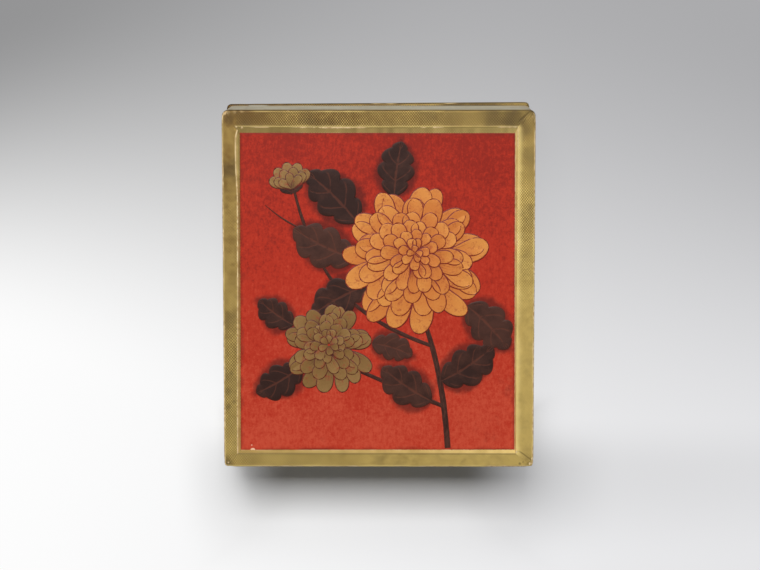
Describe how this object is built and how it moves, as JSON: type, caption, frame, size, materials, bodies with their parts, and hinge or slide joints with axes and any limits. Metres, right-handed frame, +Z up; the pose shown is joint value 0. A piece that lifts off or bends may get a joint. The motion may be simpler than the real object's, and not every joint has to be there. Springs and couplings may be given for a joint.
{
  "type": "decorative box",
  "caption": "Flat rectangular paper-covered box with a deep lift-off lid over an inner tray; a gold frame surrounds a sunk red picture panel.",
  "frame": {"origin": "middle of the base's underside, on the surface the box stands on", "axes": "+Z up out of the lid, +Y along the length to the back edge (the top of the picture), +X to the right of the picture"},
  "size_m": [0.1218, 0.1422, 0.0394],
  "materials": {
    "gold_paper": "embossed gold paper with a small diagonal mesh, satin, browned and worn to the cream core along the edges",
    "red_lacquer": "red lacquer on card, satin, slightly mottled",
    "pale_paper": "pale silver-grey fibrous paper, matte",
    "lining_paper": "cream lining paper with fine fibres, matte",
    "base_paper": "brown mulberry paper, matte",
    "pasteboard": "raw grey-brown pasteboard"
  },
  "bodies": {
    "tray": {"base_board": "pasteboard", "base_edge_back": "gold_paper", "base_edge_right": "gold_paper", "base_edge_front": "gold_paper", "base_edge_left": "gold_paper", "base_bottom_paper": "base_paper", "tray_floor_board": "pasteboard", "tray_wall_back": "pasteboard", "tray_wall_right": "pasteboard", "tray_wall_front": "pasteboard", "tray_wall_left": "pasteboard", "tray_side_paper": "pale_paper", "tray_floor_lining": "lining_paper", "tray_wall_lining": "lining_paper"},
    "lid": {"frame_gold_back": "gold_paper", "frame_gold_right": "gold_paper", "frame_gold_front": "gold_paper", "frame_gold_left": "gold_paper", "frame_core_back": "pasteboard", "frame_core_right": "pasteboard", "frame_core_front": "pasteboard", "frame_core_left": "pasteboard", "recess_gold_paper": "gold_paper", "picture_panel": "red_lacquer", "lid_top_board": "pasteboard", "lid_wall_back": "pasteboard", "lid_wall_right": "pasteboard", "lid_wall_front": "pasteboard", "lid_wall_left": "pasteboard", "lid_side_paper": "pale_paper", "lid_ceiling_lining": "lining_paper", "lid_wall_lining": "lining_paper"}
  },
  "joints": [
    {"name": "lid_lift", "type": "slide", "parent": "tray", "child": "lid", "axis": [0, 0, 1], "range_m": [0, 0.06]}
  ]
}
